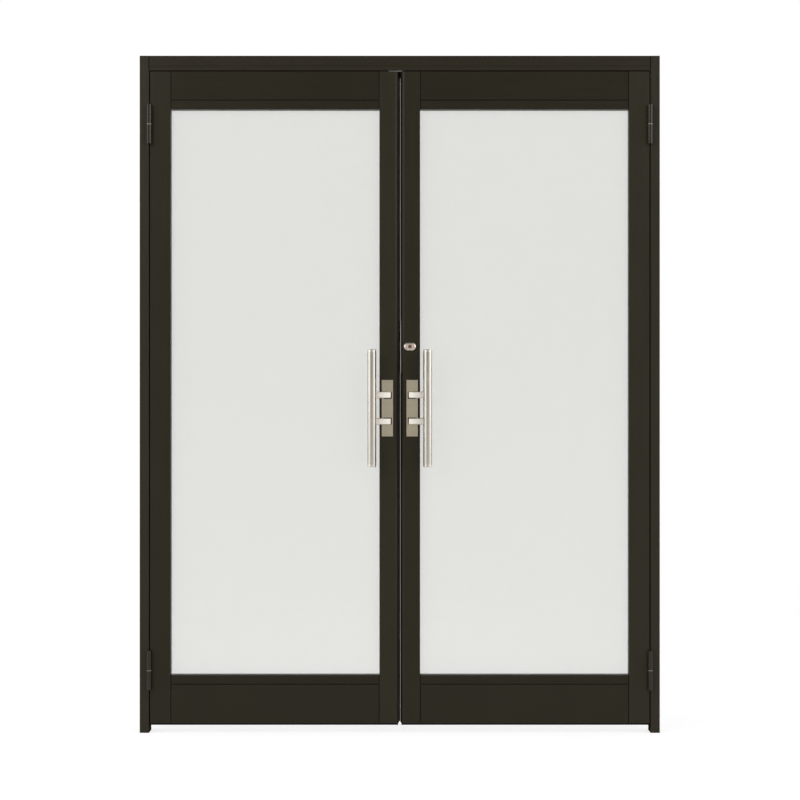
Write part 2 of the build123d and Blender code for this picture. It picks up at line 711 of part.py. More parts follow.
def cylinder_body():
    front = FRONT_Y - ROSE_THICKNESS - CYLINDER_PROUD
    body = rod_inwards(LOCK_X, LOCK_HEIGHT, CYLINDER_RADIUS, front, -CASE_Y)
    bore_radius = PLUG_RADIUS + TURN_CLEARANCE
    return body - rod_inwards(LOCK_X, LOCK_HEIGHT, bore_radius, front - OVERRUN, -CASE_Y + OVERRUN)


def cylinder_plug():
    """Turning core with an upright keyway."""
    front = FRONT_Y - ROSE_THICKNESS - CYLINDER_PROUD
    plug = rod_inwards(LOCK_X, LOCK_HEIGHT, PLUG_RADIUS, front, -CASE_Y - CYLINDER_PROUD)
    return plug - block(
        LOCK_X - KEYWAY_WIDTH / 2, LOCK_X + KEYWAY_WIDTH / 2,
        front - OVERRUN, front + KEYWAY_DEPTH,
        LOCK_HEIGHT - KEYWAY_HEIGHT / 2, LOCK_HEIGHT + KEYWAY_HEIGHT / 2,
    )


def thumb_turn():
    """Round hub with an upright wing, socketed for the spindle."""
    start = BACK_Y + ROSE_THICKNESS + TURN_GAP
    hub = rod_inwards(LOCK_X, LOCK_HEIGHT, TURN_HUB_RADIUS, start, start + TURN_HUB_LENGTH)
    wing = block(
        LOCK_X - TURN_WING_THICKNESS / 2, LOCK_X + TURN_WING_THICKNESS / 2,
        start + TURN_HUB_LENGTH, start + TURN_HUB_LENGTH + TURN_WING_DEPTH,
        LOCK_HEIGHT - TURN_WING_LENGTH / 2, LOCK_HEIGHT + TURN_WING_LENGTH / 2,
    )
    wing = chamfer(wing.faces().sort_by(Axis.Y)[-1].edges(), TURN_WING_BEVEL)
    socket = spindle_bar(SPINDLE_CLEARANCE, start - OVERRUN, start + TURN_SOCKET_DEPTH)
    return hub + wing - socket


def strike_plate():
    opening_z = DEADBOLT_HEIGHT + 2 * STRIKE_CLEARANCE
    opening_y = DEADBOLT_THICKNESS + 2 * STRIKE_CLEARANCE
    hole = block(
        FRONT_FACE - OVERRUN, FRONT_FLOOR + OVERRUN,
        -opening_y / 2, opening_y / 2,
        LOCK_HEIGHT - opening_z / 2, LOCK_HEIGHT + opening_z / 2,
    )
    return face_plate(LOCK_HEIGHT, STRIKE_HEIGHT) - hole


def slider_window(clearance, travel):
    """Space swept by a flush bolt's slider, from its rest up by its travel."""
    half = SLIDER_WIDTH / 2 + clearance
    foot = FLUSH_MIDDLE - (SLIDER_HEIGHT + ROD_TRAVEL) / 2
    return block(
        FRONT_FACE, ROD_X, -half, half, foot - clearance, foot + SLIDER_HEIGHT + travel + clearance
    )


def flush_front():
    """Upper bolt's face plate with the block that guides its rod."""
    body_height = FLUSH_FRONT_HEIGHT - 2 * FLUSH_BODY_MARGIN
    half = FLUSH_BODY_THICKNESS / 2
    shape = block(
        FRONT_FLOOR, ROD_X + ROD_RADIUS + FLUSH_BODY_WALL,
        -half, half,
        FLUSH_MIDDLE - body_height / 2, FLUSH_MIDDLE + body_height / 2,
    )
    shape += face_plate(FLUSH_MIDDLE, FLUSH_FRONT_HEIGHT)
    reach = FLUSH_FRONT_HEIGHT / 2
    shape -= rod_up(ROD_X, 0, ROD_RADIUS + ROD_CLEARANCE, FLUSH_MIDDLE - reach, FLUSH_MIDDLE + reach)
    window = slider_window(SLIDER_CLEARANCE, ROD_TRAVEL)
    return shape - window - Pos(-OVERRUN, 0, 0) * window


def flush_rod():
    """Upper rod with the slider that moves it."""
    rod = rod_up(ROD_X, 0, ROD_RADIUS, FLUSH_MIDDLE - ROD_TAIL, LEAF_TOP - ROD_INSET)
    return rod + slider_window(0, 0)


def at_foot(shape):
    """An upper flush bolt piece, turned over to the foot of the leaf."""
    return Pos(0, 0, LEAF_TOP + LEAF_BOTTOM) * shape.mirror(Plane.XY)


def lock_cuts():
    """What the lock takes out of the right meeting stile."""
    width = CASE_THICKNESS + 2 * CASE_CLEARANCE
    height = CASE_HEIGHT + 2 * CASE_CLEARANCE
    spindle_radius = SPINDLE_SIDE
    return [
        nose_pocket(LOCK_HEIGHT, LOCK_FRONT_HEIGHT),
        nose_mortise(LOCK_HEIGHT, height, width),
        rod_inwards(LOCK_X, LOCK_HEIGHT, CYLINDER_RADIUS + CYLINDER_CLEARANCE, FRONT_Y - OVERRUN, 0),
        rod_inwards(LOCK_X, LOCK_HEIGHT, spindle_radius, 0, BACK_Y + OVERRUN),
    ]


def left_cuts():
    """What the fin, the strike and the flush bolts take out of the left meeting stile."""
    strike_width = DEADBOLT_THICKNESS + 2 * STRIKE_CLEARANCE
    strike_height = DEADBOLT_HEIGHT + 2 * STRIKE_CLEARANCE
    body_width = FLUSH_BODY_THICKNESS + 2 * FLUSH_CLEARANCE
    body_height = FLUSH_FRONT_HEIGHT - 2 * FLUSH_BODY_MARGIN + 2 * FLUSH_CLEARANCE
    flush = nose_pocket(FLUSH_MIDDLE, FLUSH_FRONT_HEIGHT)
    flush += nose_mortise(FLUSH_MIDDLE, body_height, body_width)
    return [
        fin_slot(),
        nose_pocket(LOCK_HEIGHT, STRIKE_HEIGHT),
        nose_mortise(LOCK_HEIGHT, strike_height, strike_width),
        flush,
        at_foot(flush),
    ]


# Assembly

parts["left_jamb"] = on_side(jamb(), "left")
parts["right_jamb"] = jamb()
parts["head"] = head()
parts["frame_seals"] = frame_seals()
parts["head_keeper"] = head_keeper()
parts["hinge_pins"] = all_hinges(hinge_pin)
parts["hinge_washers"] = all_hinges(hinge_washer)

for side, cuts in (("left", left_cuts()), ("right", lock_cuts())):
    slotted_stile = meeting_stile()
    for cut in cuts:
        slotted_stile -= cut
    bottom_rail = between_stiles(rail_section(BOTTOM_RAIL_HEIGHT, SWEEP_ROOT_DEPTH))
    top_rail = between_stiles(rail_section(TOP_RAIL_HEIGHT, 0))
    leaf = {
        "hinge_stile": hinge_stile(),
        "meeting_stile": slotted_stile,
        "top_rail": upside_down(top_rail, LEAF_TOP),
        "bottom_rail": Pos(0, 0, LEAF_BOTTOM) * bottom_rail,
        "top_bead": upside_down(between_stiles(bead_section(TOP_RAIL_HEIGHT)), LEAF_TOP),
        "bottom_bead": Pos(0, 0, LEAF_BOTTOM) * between_stiles(bead_section(BOTTOM_RAIL_HEIGHT)),
        "glass": glass_block(0, GLASS_THICKNESS),
        "glazing_channel": glazing_channel(),
        "corner_cleats": corner_cleats(),
        "sweep": sweep(side),
        "outer_handle_bar": handle_bar(),
        "inner_handle_bar": handle_bar().mirror(Plane.XZ),
        "outer_handle_plate": handle_plate(),
        "inner_handle_plate": handle_plate().mirror(Plane.XZ),
        "handle_arms": on_both_faces([handle_arm(-1), handle_arm(1)]),
        "handle_end_caps": on_both_faces(
            [end_cap(), Pos(0, 0, 2 * HANDLE_HEIGHT) * end_cap().mirror(Plane.XY)]
        ),
    }
    for name in ("top_rail", "bottom_rail", "top_bead", "bottom_bead", "corner_cleats"):
        leaf[name] -= joint_lines()
    for place, height in HINGE_HEIGHTS.items():
        parts[f"{side}_{place}_frame_flag"] = on_side(frame_flag(height), side)
        leaf[f"{place}_leaf_flag"] = leaf_flag(height)
    for name, shape in leaf.items():
        parts[f"{side}_{name}"] = on_side(shape, side)

parts["meeting_fin"] = on_side(meeting_fin(), "left")
parts["strike_plate"] = on_side(strike_plate(), "left")
parts["flush_bolt_fronts"] = on_side(together([flush_front(), at_foot(flush_front())]), "left")
parts["top_flush_rod"] = on_side(flush_rod(), "left")
parts["bottom_flush_rod"] = on_side(at_foot(flush_rod()), "left")

parts["lock_case"] = lock_case()
parts["deadbolt"] = deadbolt()
parts["lock_spindle"] = lock_spindle()
parts["cylinder_rose"] = rose(CYLINDER_RADIUS + CYLINDER_CLEARANCE)
parts["cylinder_body"] = cylinder_body()
parts["cylinder_plug"] = cylinder_plug()
parts["thumb_turn_rose"] = rose(SPINDLE_SIDE).mirror(Plane.XZ)
parts["thumb_turn"] = thumb_turn()

os.makedirs("parts", exist_ok=True)
for name, shape in parts.items():
    export_step(shape, f"parts/{name}.step")
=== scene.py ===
import bpy
from math import radians
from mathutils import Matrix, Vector


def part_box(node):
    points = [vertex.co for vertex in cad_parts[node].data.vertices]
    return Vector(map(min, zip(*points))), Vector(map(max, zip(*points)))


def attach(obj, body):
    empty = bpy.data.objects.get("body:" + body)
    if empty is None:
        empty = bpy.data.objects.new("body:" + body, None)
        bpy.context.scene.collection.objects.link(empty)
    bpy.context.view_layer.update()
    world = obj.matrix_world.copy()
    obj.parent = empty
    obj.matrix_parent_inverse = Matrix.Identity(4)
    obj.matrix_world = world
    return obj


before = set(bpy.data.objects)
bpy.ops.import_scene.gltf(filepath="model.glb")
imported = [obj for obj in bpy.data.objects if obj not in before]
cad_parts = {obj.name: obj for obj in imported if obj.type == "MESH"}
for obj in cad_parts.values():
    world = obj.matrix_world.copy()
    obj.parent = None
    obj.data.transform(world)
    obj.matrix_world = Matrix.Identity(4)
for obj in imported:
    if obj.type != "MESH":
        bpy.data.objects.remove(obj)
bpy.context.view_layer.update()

# Places on the doors, in metres, that the small fixings are set out from
JAMB_INNER = 0.815
LEAF_EDGE = 0.8115
FLAG_THICKNESS = 0.003
NOSE_PLATE_FACE = 0.0024
LOCK_HEIGHT = 1.255
KEEPER_UNDERSIDE = 2.15
HEAD_UNDERSIDE = 2.152
BOLT_LINE = 0.014
FLUSH_FRONT_HALF = 0.09

# Screw heads: their sizes, and how far each lies from its plate's middle, or on a flag its depth and rise
HINGE_SCREW = {"radius": 0.0038, "height": 0.00025}
NOSE_SCREW = {"radius": 0.0032, "height": 0.0003}
KEEPER_SCREW = {"radius": 0.003, "height": 0.0006}
ROSE_SCREW = {"radius": 0.0021, "height": 0.0004}
FLAG_SCREW_PLACES = ((-0.004, -0.02), (-0.010, 0.0), (-0.004, 0.02))
STRIKE_SCREW_REACH = 0.036
FLUSH_SCREW_REACH = 0.083
LOCK_SCREW_REACH = 0.076
KEEPER_SCREW_REACH = 0.016
ROSE_SCREW_REACH = 0.0128
HEAD_SIDES = 20
HEAD_TOP_SHARE = 0.86
RECESS_DEPTH_SHARE = 1.5
RECESS_LENGTH_SHARE = 1.25
RECESS_WIDTH_SHARE = 0.3
SCREW_SEED = 7

# Beads of sealant in the frame's joints, and the lip on the meeting fin
BEAD_SIDES = 20
SEALANT_RADIUS = 0.003
SEALANT_SUNK = 0.0026
LIP_RADIUS = 0.0009
LIP_REACH = 0.0006

# Studio and camera
WHITE = (1.0, 1.0, 1.0, 1.0)
FLOOR_TONE = 0.36
FLOOR_LIFT = 0.75
FLOOR_REACH = 40.0
BACKDROP_TONE = 0.8
BACKDROP_Y = 4.0
FRONT_WALL_LEVEL = 0.36
SIDE_WALL_LEVEL = 2.9
SIDE_WALL_RISE = 3.3
SENSOR_WIDTH = 36.0
VIEW_X = 0.0008
VIEW_HEIGHT = 1.0815
VIEW_DISTANCE = 7.0
VIEW_WIDTH = 2.599
FACE_Y = -0.02


# Ways that a pattern is drawn out: far along an axis with a small value
ALL_WAYS = (1.0, 1.0, 1.0)
UPRIGHT = (1.0, 1.0, 0.012)
ACROSS = (0.012, 1.0, 1.0)
MILL_GRAIN = (1.0, 1.0, 0.2)


# Node trees

# Sockets that share their name with others on the node are found by number
MIX_FIRST, MIX_SECOND, MIX_RESULT = 6, 7, 2
RANDOM_MOST, RANDOM_NUMBER = 3, 1


def add(tree, kind, inputs=None, **settings):
    """A new node; an input given a socket is linked to it, any other value is set."""
    made = tree.nodes.new(kind)
    for name, value in settings.items():
        setattr(made, name, value)
    for name, value in (inputs or {}).items():
        if isinstance(value, bpy.types.NodeSocket):
            tree.links.new(value, made.inputs[name])
        else:
            made.inputs[name].default_value = value
    return made


def tint(red, green, blue):
    """A colour given as it is seen, 0 to 255, turned into light."""
    def light(share):
        return share / 12.92 if share <= 0.04045 else ((share + 0.055) / 1.055) ** 2.4
    return (light(red / 255), light(green / 255), light(blue / 255), 1.0)


def new_finish(name, **sockets):
    """A material and its tree, with the constant sockets set on its surface shader."""
    material = bpy.data.materials.new(name)
    material.use_nodes = True
    surface = material.node_tree.nodes["Principled BSDF"]
    for socket, value in sockets.items():
        surface.inputs[socket.replace("_", " ")].default_value = value
    return material, material.node_tree, surface


def noise(tree, scale, stretch=ALL_WAYS, detail=3.0, roughness=0.5):
    """Noise over the piece's own coordinates, drawn out one way or alike all ways."""
    place = add(tree, "ShaderNodeTexCoord").outputs["Object"]
    drawn = add(tree, "ShaderNodeMapping", {"Vector": place, "Scale": stretch}).outputs["Vector"]
    return add(tree, "ShaderNodeTexNoise", {
        "Vector": drawn, "Scale": scale, "Detail": detail, "Roughness": roughness,
    }).outputs["Fac"]


def between(tree, amount, low, high, start=0.3, end=0.7):
    """A number that goes from low to high as the amount goes from start to end."""
    return add(tree, "ShaderNodeMapRange", {
        "Value": amount, "From Min": start, "From Max": end, "To Min": low, "To Max": high,
    }).outputs["Result"]


def two_tone(tree, amount, first, second):
    """A colour between two others."""
    made = add(tree, "ShaderNodeMix", {"Factor": amount}, data_type="RGBA")
    made.inputs[MIX_FIRST].default_value = first
    made.inputs[MIX_SECOND].default_value = second
    return made.outputs[MIX_RESULT]


def shaded(colour, share):
    """A colour made darker or lighter by a share."""
    return (colour[0] * share, colour[1] * share, colour[2] * share, 1.0)


def relief(tree, surface, height, distance, strength):
    """Fine unevenness that catches the light."""
    bump = add(tree, "ShaderNodeBump", {"Height": height, "Distance": distance, "Strength": strength})
    tree.links.new(bump.outputs["Normal"], surface.inputs["Normal"])


# Finishes

BRONZE_GLOSS = 0.22
BRONZE_METALLIC = 0.45
BRONZE_LIFT = 0.22
REVEAL_BLEND = 0.001


def anodised_bronze(name, colour, along, roughness=0.42, gloss=BRONZE_GLOSS):
    """Dark bronze on extruded aluminium: cloudy tone, fine die lines along the length, satin sheen."""
    material, tree, surface = new_finish(name, Metallic=BRONZE_METALLIC, Specular_IOR_Level=gloss)
    cloud = noise(tree, scale=5.0, detail=4.0)
    lines = noise(tree, scale=420.0, stretch=along, detail=2.0)
    tone = add(tree, "ShaderNodeMath", {0: cloud, 1: lines, 2: BRONZE_LIFT}, operation="MULTIPLY_ADD")
    mixed = between(tree, tone.outputs[0], 0.0, 1.0, start=0.3, end=0.65)
    shade = two_tone(tree, mixed, shaded(colour, 0.93), shaded(colour, 1.07))
    tree.links.new(shade, surface.inputs["Base Color"])
    tree.links.new(between(tree, lines, roughness - 0.05, roughness + 0.07), surface.inputs["Roughness"])
    relief(tree, surface, lines, distance=0.00004, strength=0.35)
    return material


def painted_shade_reveal(material):
    """Takes the sheen off the side of a jamb that faces the opening, so that it renders dark: painted shade
    in the reveal.
    """
    tree = material.node_tree
    surface = tree.nodes["Principled BSDF"]
    place = add(tree, "ShaderNodeTexCoord").outputs["Object"]
    across = add(tree, "ShaderNodeSeparateXYZ", {0: place}).outputs["X"]
    aside = add(tree, "ShaderNodeMath", {0: across}, operation="ABSOLUTE").outputs[0]
    for socket, sheen in (("Specular IOR Level", BRONZE_GLOSS), ("Metallic", BRONZE_METALLIC)):
        level = between(tree, aside, 0.0, sheen, start=JAMB_INNER, end=JAMB_INNER + REVEAL_BLEND)
        tree.links.new(level, surface.inputs[socket])


def brushed_metal(name, colour, along, roughness):
    """Satin metal with fine brush lines and a few faint hand marks."""
    material, tree, surface = new_finish(name, Metallic=1.0)
    lines = noise(tree, scale=900.0, stretch=along, detail=3.0, roughness=0.6)
    marks = noise(tree, scale=38.0, detail=5.0, roughness=0.6)
    shade = two_tone(tree, between(tree, lines, 0.0, 1.0), shaded(colour, 0.94), shaded(colour, 1.06))
    tree.links.new(shade, surface.inputs["Base Color"])
    grain = between(tree, lines, roughness - 0.04, roughness + 0.04)
    handled = between(tree, marks, -0.02, 0.05, start=0.45, end=0.75)
    worn = add(tree, "ShaderNodeMath", {0: handled, 1: grain}, operation="ADD")
    tree.links.new(worn.outputs[0], surface.inputs["Roughness"])
    relief(tree, surface, lines, distance=0.00001, strength=0.3)
    return material


def frosted_glass(name):
    """Acid-etched pane: milky, lets light through but no picture, with a faint mottle."""
    material, tree, surface = new_finish(name, IOR=1.5, Transmission_Weight=0.88, Specular_IOR_Level=0.35)
    mottle = noise(tree, scale=110.0, detail=3.0, roughness=0.55)
    etch = noise(tree, scale=1500.0, detail=2.0)
    milk = two_tone(tree, between(tree, mottle, 0.0, 1.0), tint(234, 234, 231), tint(238, 238, 235))
    tree.links.new(milk, surface.inputs["Base Color"])
    tree.links.new(between(tree, etch, 0.15, 0.22), surface.inputs["Roughness"])
    relief(tree, surface, etch, distance=0.00005, strength=0.25)
    return material


def rubber(name, along, dull=tint(11, 11, 10), bloomed=tint(19, 19, 18), gloss=0.25):
    """Black extruded seal: matt, with faint lines along its length and a little bloom."""
    material, tree, surface = new_finish(name, Specular_IOR_Level=gloss)
    bloom = noise(tree, scale=60.0, detail=5.0)
    lines = noise(tree, scale=700.0, stretch=along, detail=2.0)
    shade = two_tone(tree, between(tree, bloom, 0.0, 1.0), dull, bloomed)
    tree.links.new(shade, surface.inputs["Base Color"])
    tree.links.new(between(tree, bloom, 0.62, 0.8), surface.inputs["Roughness"])
    relief(tree, surface, lines, distance=0.00005, strength=0.4)
    return material


def plain_metal(name, colour, roughness):
    """Machined metal of the lock, pins and screws: fine grain and slight stains."""
    material, tree, surface = new_finish(name, Metallic=1.0)
    stain = noise(tree, scale=30.0, detail=5.0)
    grain = noise(tree, scale=1400.0, stretch=MILL_GRAIN, detail=2.0)
    shade = two_tone(tree, between(tree, stain, 0.0, 1.0), shaded(colour, 0.86), shaded(colour, 1.06))
    tree.links.new(shade, surface.inputs["Base Color"])
    tree.links.new(between(tree, grain, roughness - 0.05, roughness + 0.08), surface.inputs["Roughness"])
    relief(tree, surface, grain, distance=0.00003, strength=0.3)
    return material


jamb_bronze = anodised_bronze("jamb_bronze", tint(50, 46, 35), UPRIGHT)
# The jamb's reveal is made dull and dark: painted shade beside the leaf.
painted_shade_reveal(jamb_bronze)
head_bronze = anodised_bronze("head_bronze", tint(46, 41, 30), ACROSS)
stile_bronze = anodised_bronze("stile_bronze", tint(44, 40, 29), UPRIGHT)
# A lighter copy of the stile bronze for the left meeting stile and the right hinge stile: painted light.
painted_light_stile_bronze = anodised_bronze("painted_light_stile_bronze", tint(48, 44, 33), UPRIGHT)
top_rail_bronze = anodised_bronze("top_rail_bronze", tint(40, 36, 24), ACROSS)
bottom_rail_bronze = anodised_bronze("bottom_rail_bronze", tint(43, 39, 28), ACROSS)
bead_bronze = anodised_bronze("bead_bronze", tint(41, 37, 26), ACROSS)
hinge_bronze = anodised_bronze("hinge_bronze", tint(40, 36, 27), UPRIGHT, roughness=0.13, gloss=0.42)
plate_bronze = anodised_bronze("plate_bronze", tint(58, 52, 40), UPRIGHT, roughness=0.3)
# The corner cleats are near black so the shadow gaps at the rail ends read dark: painted shade.
cleat_painted_shade = anodised_bronze("cleat_painted_shade", tint(20, 19, 17), UPRIGHT, roughness=0.5)
pane = frosted_glass("frosted_glass")
upright_rubber = rubber("upright_rubber", UPRIGHT)
level_rubber = rubber("level_rubber", ACROSS)
joint_sealant = rubber("joint_sealant", UPRIGHT, dull=tint(3, 3, 3), bloomed=tint(9, 9, 8), gloss=0.06)
bar_steel = brushed_metal("bar_steel", tint(190, 185, 176), UPRIGHT, roughness=0.22)
arm_steel = brushed_metal("arm_steel", tint(211, 205, 196), ACROSS, roughness=0.3)
cap_steel = brushed_metal("cap_steel", tint(205, 201, 192), ALL_WAYS, roughness=0.26)
plate_steel = brushed_metal("plate_steel", tint(177, 166, 146), ACROSS, roughness=0.4)
satin_nickel = brushed_metal("satin_nickel", tint(226, 212, 198), ALL_WAYS, roughness=0.26)
plug_brass = brushed_metal("plug_brass", tint(128, 108, 90), ALL_WAYS, roughness=0.34)
lock_steel = plain_metal("lock_steel", tint(188, 188, 184), roughness=0.32)
washer_steel = plain_metal("washer_steel", tint(116, 112, 102), roughness=0.42)
screw_steel = plain_metal("screw_steel", tint(150, 146, 138), roughness=0.3)

# The last words of a node's name and its finish; the first that fits is taken
FINISHES = (
    ("jamb", jamb_bronze), ("head", head_bronze), ("flag", hinge_bronze),
    ("left_meeting_stile", painted_light_stile_bronze), ("right_hinge_stile", painted_light_stile_bronze),
    ("stile", stile_bronze), ("top_rail", top_rail_bronze),
    ("bottom_rail", bottom_rail_bronze), ("bead", bead_bronze),
    ("glass", pane), ("glazing_channel", upright_rubber), ("frame_seals", upright_rubber),
    ("meeting_fin", upright_rubber), ("sweep", level_rubber),
    ("handle_bar", bar_steel), ("handle_arms", arm_steel), ("handle_end_caps", cap_steel),
    ("handle_plate", plate_steel), ("cylinder_rose", satin_nickel), ("cylinder_body", satin_nickel),
    ("cylinder_plug", plug_brass), ("thumb_turn_rose", satin_nickel), ("thumb_turn", satin_nickel),
    ("corner_cleats", cleat_painted_shade), ("hinge_washers", washer_steel),
    ("strike_plate", plate_bronze), ("flush_bolt_fronts", plate_bronze),
)


def finish_for(node):
    """The finish of a node; the lock, the pins and the bolts are bare steel."""
    for words, material in FINISHES:
        if node.endswith(words):
            return material
    return lock_steel


for node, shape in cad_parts.items():
    shape.data.materials.clear()
    shape.data.materials.append(finish_for(node))


# Pieces grown by node trees

def grown(name, tree, points, edges, facings, sizes):
    """A plain mesh grown by a tree from points, with the edges between them or the way each faces."""
    mesh = bpy.data.meshes.new(name + "_points")
    mesh.from_pydata(points, edges, [])
    if facings:
        ways = mesh.attributes.new("facing", "FLOAT_VECTOR", "POINT")
        ways.data.foreach_set("vector", [share for way in facings for share in way])
    seedling = bpy.data.objects.new(name + "_points", mesh)
    bpy.context.scene.collection.objects.link(seedling)
    grower = seedling.modifiers.new("grow", "NODES")
    grower.node_group = tree
    for item in tree.interface.items_tree:
        if item.in_out == "INPUT" and item.name in sizes:
            grower[item.identifier] = sizes[item.name]
    bpy.context.view_layer.update()
    ready = seedling.evaluated_get(bpy.context.evaluated_depsgraph_get())
    made = bpy.data.objects.new(name, bpy.data.meshes.new_from_object(ready))
    bpy.context.scene.collection.objects.link(made)
    seedling.modifiers.remove(grower)
    bpy.data.objects.remove(seedling)
    return made


def finished(tree, geometry, material, output):
    """Ends a tree: real geometry in its finish."""
    real = add(tree, "GeometryNodeRealizeInstances", {"Geometry": geometry}).outputs["Geometry"]
    dressed = add(tree, "GeometryNodeSetMaterial", {"Geometry": real, "Material": material})
    add(tree, "NodeGroupOutput", {output: dressed.outputs["Geometry"]})


# Screws

def screw_tree():
    """Cross-recessed screw heads on points that carry the way each one faces."""
    tree = bpy.data.node_groups.new("screw_heads", "GeometryNodeTree")
    sockets = tree.interface
    sockets.new_socket("Points", in_out="INPUT", socket_type="NodeSocketGeometry")
    for name in ("Head radius", "Head height", "Recess length", "Recess width"):
        sockets.new_socket(name, in_out="INPUT", socket_type="NodeSocketFloat")
    sockets.new_socket("Seed", in_out="INPUT", socket_type="NodeSocketInt")
    sockets.new_socket("Finish", in_out="INPUT", socket_type="NodeSocketMaterial")
    sockets.new_socket("Screws", in_out="OUTPUT", socket_type="NodeSocketGeometry")
    given = add(tree, "NodeGroupInput").outputs
    top = add(tree, "ShaderNodeMath", {0: given["Head radius"], 1: HEAD_TOP_SHARE}, operation="MULTIPLY")
    head = add(tree, "GeometryNodeMeshCone", {
        "Vertices": HEAD_SIDES, "Radius Top": top.outputs[0],
        "Radius Bottom": given["Head radius"], "Depth": given["Head height"],
    }).outputs["Mesh"]
    deep = add(tree, "ShaderNodeMath", {0: given["Head height"], 1: RECESS_DEPTH_SHARE}, operation="MULTIPLY")
    arms = []
    for wide, high in (("Recess length", "Recess width"), ("Recess width", "Recess length")):
        size = add(tree, "ShaderNodeCombineXYZ", {"X": given[wide], "Y": given[high], "Z": deep.outputs[0]})
        bar = add(tree, "GeometryNodeMeshCube", {"Size": size.outputs[0]}).outputs["Mesh"]
        lift = add(tree, "ShaderNodeCombineXYZ", {"Z": given["Head height"]}).outputs[0]
        arm = add(tree, "GeometryNodeTransform", {"Geometry": bar, "Translation": lift})
        arms.append(arm.outputs["Geometry"])
    for arm in arms:
        cut = add(tree, "GeometryNodeMeshBoolean", {"Mesh 1": head}, operation="DIFFERENCE")
        tree.links.new(arm, cut.inputs["Mesh 2"])
        head = cut.outputs["Mesh"]
    facing = add(tree, "GeometryNodeInputNamedAttribute", {"Name": "facing"}, data_type="FLOAT_VECTOR")
    upright = add(tree, "FunctionNodeAlignRotationToVector", {
        "Vector": facing.outputs["Attribute"],
    }, axis="Z")
    turn = add(tree, "FunctionNodeRandomValue", {"Seed": given["Seed"]}, data_type="FLOAT")
    turn.inputs[RANDOM_MOST].default_value = radians(90)
    spin = add(tree, "FunctionNodeAxisAngleToRotation", {"Angle": turn.outputs[RANDOM_NUMBER]})
    turned = add(tree, "FunctionNodeRotateRotation", {
        "Rotation": upright.outputs["Rotation"], "Rotate By": spin.outputs["Rotation"],
    }, rotation_space="LOCAL")
    placed = add(tree, "GeometryNodeInstanceOnPoints", {
        "Points": given["Points"], "Instance": head, "Rotation": turned.outputs["Rotation"],
    })
    finished(tree, placed.outputs["Instances"], given["Finish"], "Screws")
    return tree


SCREW_HEADS = screw_tree()


def screws(name, body, slot, places, finish, radius, height):
    """Screw heads for one body, from pairs of a point and the way it faces."""
    points = [point for point, way in places]
    ways = [way for point, way in places]
    made = grown(name, SCREW_HEADS, points, [], ways, {
        "Head radius": radius, "Head height": height,
        "Recess length": RECESS_LENGTH_SHARE * radius, "Recess width": RECESS_WIDTH_SHARE * radius,
        "Seed": SCREW_SEED, "Finish": finish,
    })
    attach(made, body)


def flag_places(side, piece):
    """Three screws in each hinge flag, on the face that an open leaf shows."""
    sign = 1 if side == "right" else -1
    face = JAMB_INNER - FLAG_THICKNESS if piece == "frame_flag" else LEAF_EDGE + FLAG_THICKNESS
    way = -sign if piece == "frame_flag" else sign
    places = []
    for level in ("upper", "lower"):
        low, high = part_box(f"{side}_{level}_{piece}")
        middle = (low.z + high.z) / 2
        for y, rise in FLAG_SCREW_PLACES:
            places.append(((sign * face, y, middle + rise), (way, 0.0, 0.0)))
    return places


def nose_places(sign, middles, reach):
    """Two screws in each face plate of a meeting edge."""
    return [
        ((sign * NOSE_PLATE_FACE, 0.0, middle + end * reach), (-sign, 0.0, 0.0))
        for middle in middles for end in (-1, 1)
    ]


screws("frame_hinge_screws", "frame", "hinge_bronze",
       flag_places("left", "frame_flag") + flag_places("right", "frame_flag"), hinge_bronze, **HINGE_SCREW)
for side in ("left", "right"):
    screws(f"{side}_leaf_hinge_screws", f"{side}_leaf", "hinge_bronze",
           flag_places(side, "leaf_flag"), hinge_bronze, **HINGE_SCREW)

low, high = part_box("flush_bolt_fronts")
flush_middles = (high.z - FLUSH_FRONT_HALF, low.z + FLUSH_FRONT_HALF)
strike_places = nose_places(-1, (LOCK_HEIGHT,), STRIKE_SCREW_REACH)
flush_places = nose_places(-1, flush_middles, FLUSH_SCREW_REACH)
screws("left_meeting_screws", "left_leaf", "lock_steel",
       strike_places + flush_places, screw_steel, **NOSE_SCREW)
screws("right_meeting_screws", "right_leaf", "lock_steel",
       nose_places(1, (LOCK_HEIGHT,), LOCK_SCREW_REACH), screw_steel, **NOSE_SCREW)

keeper_places = [
    ((-BOLT_LINE + reach, 0.0, KEEPER_UNDERSIDE), (0.0, 0.0, -1.0))
    for reach in (-KEEPER_SCREW_REACH, KEEPER_SCREW_REACH)
]
screws("keeper_screws", "frame", "lock_steel", keeper_places, screw_steel, **KEEPER_SCREW)

low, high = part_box("thumb_turn_rose")
rose_places = [
    (((low.x + high.x) / 2 + reach, high.y, LOCK_HEIGHT), (0.0, 1.0, 0.0))
    for reach in (-ROSE_SCREW_REACH, ROSE_SCREW_REACH)
]
screws("rose_screws", "right_leaf", "lock_steel", rose_places, screw_steel, **ROSE_SCREW)


# Sealant in the frame's butt joints, and the lip on the meeting fin beside the lock

def bead_tree():
    """Round beads along edges."""
    tree = bpy.data.node_groups.new("beads", "GeometryNodeTree")
    sockets = tree.interface
    sockets.new_socket("Joints", in_out="INPUT", socket_type="NodeSocketGeometry")
    sockets.new_socket("Bead radius", in_out="INPUT", socket_type="NodeSocketFloat")
    sockets.new_socket("Finish", in_out="INPUT", socket_type="NodeSocketMaterial")
    sockets.new_socket("Beads", in_out="OUTPUT", socket_type="NodeSocketGeometry")
    given = add(tree, "NodeGroupInput").outputs
    path = add(tree, "GeometryNodeMeshToCurve", {"Mesh": given["Joints"]}).outputs["Curve"]
    ring = add(tree, "GeometryNodeCurvePrimitiveCircle", {
        "Resolution": BEAD_SIDES, "Radius": given["Bead radius"],
    }).outputs["Curve"]
    swept = add(tree, "GeometryNodeCurveToMesh", {"Curve": path, "Profile Curve": ring, "Fill Caps": True})
    finished(tree, swept.outputs["Mesh"], given["Finish"], "Beads")
    return tree


BEADS = bead_tree()


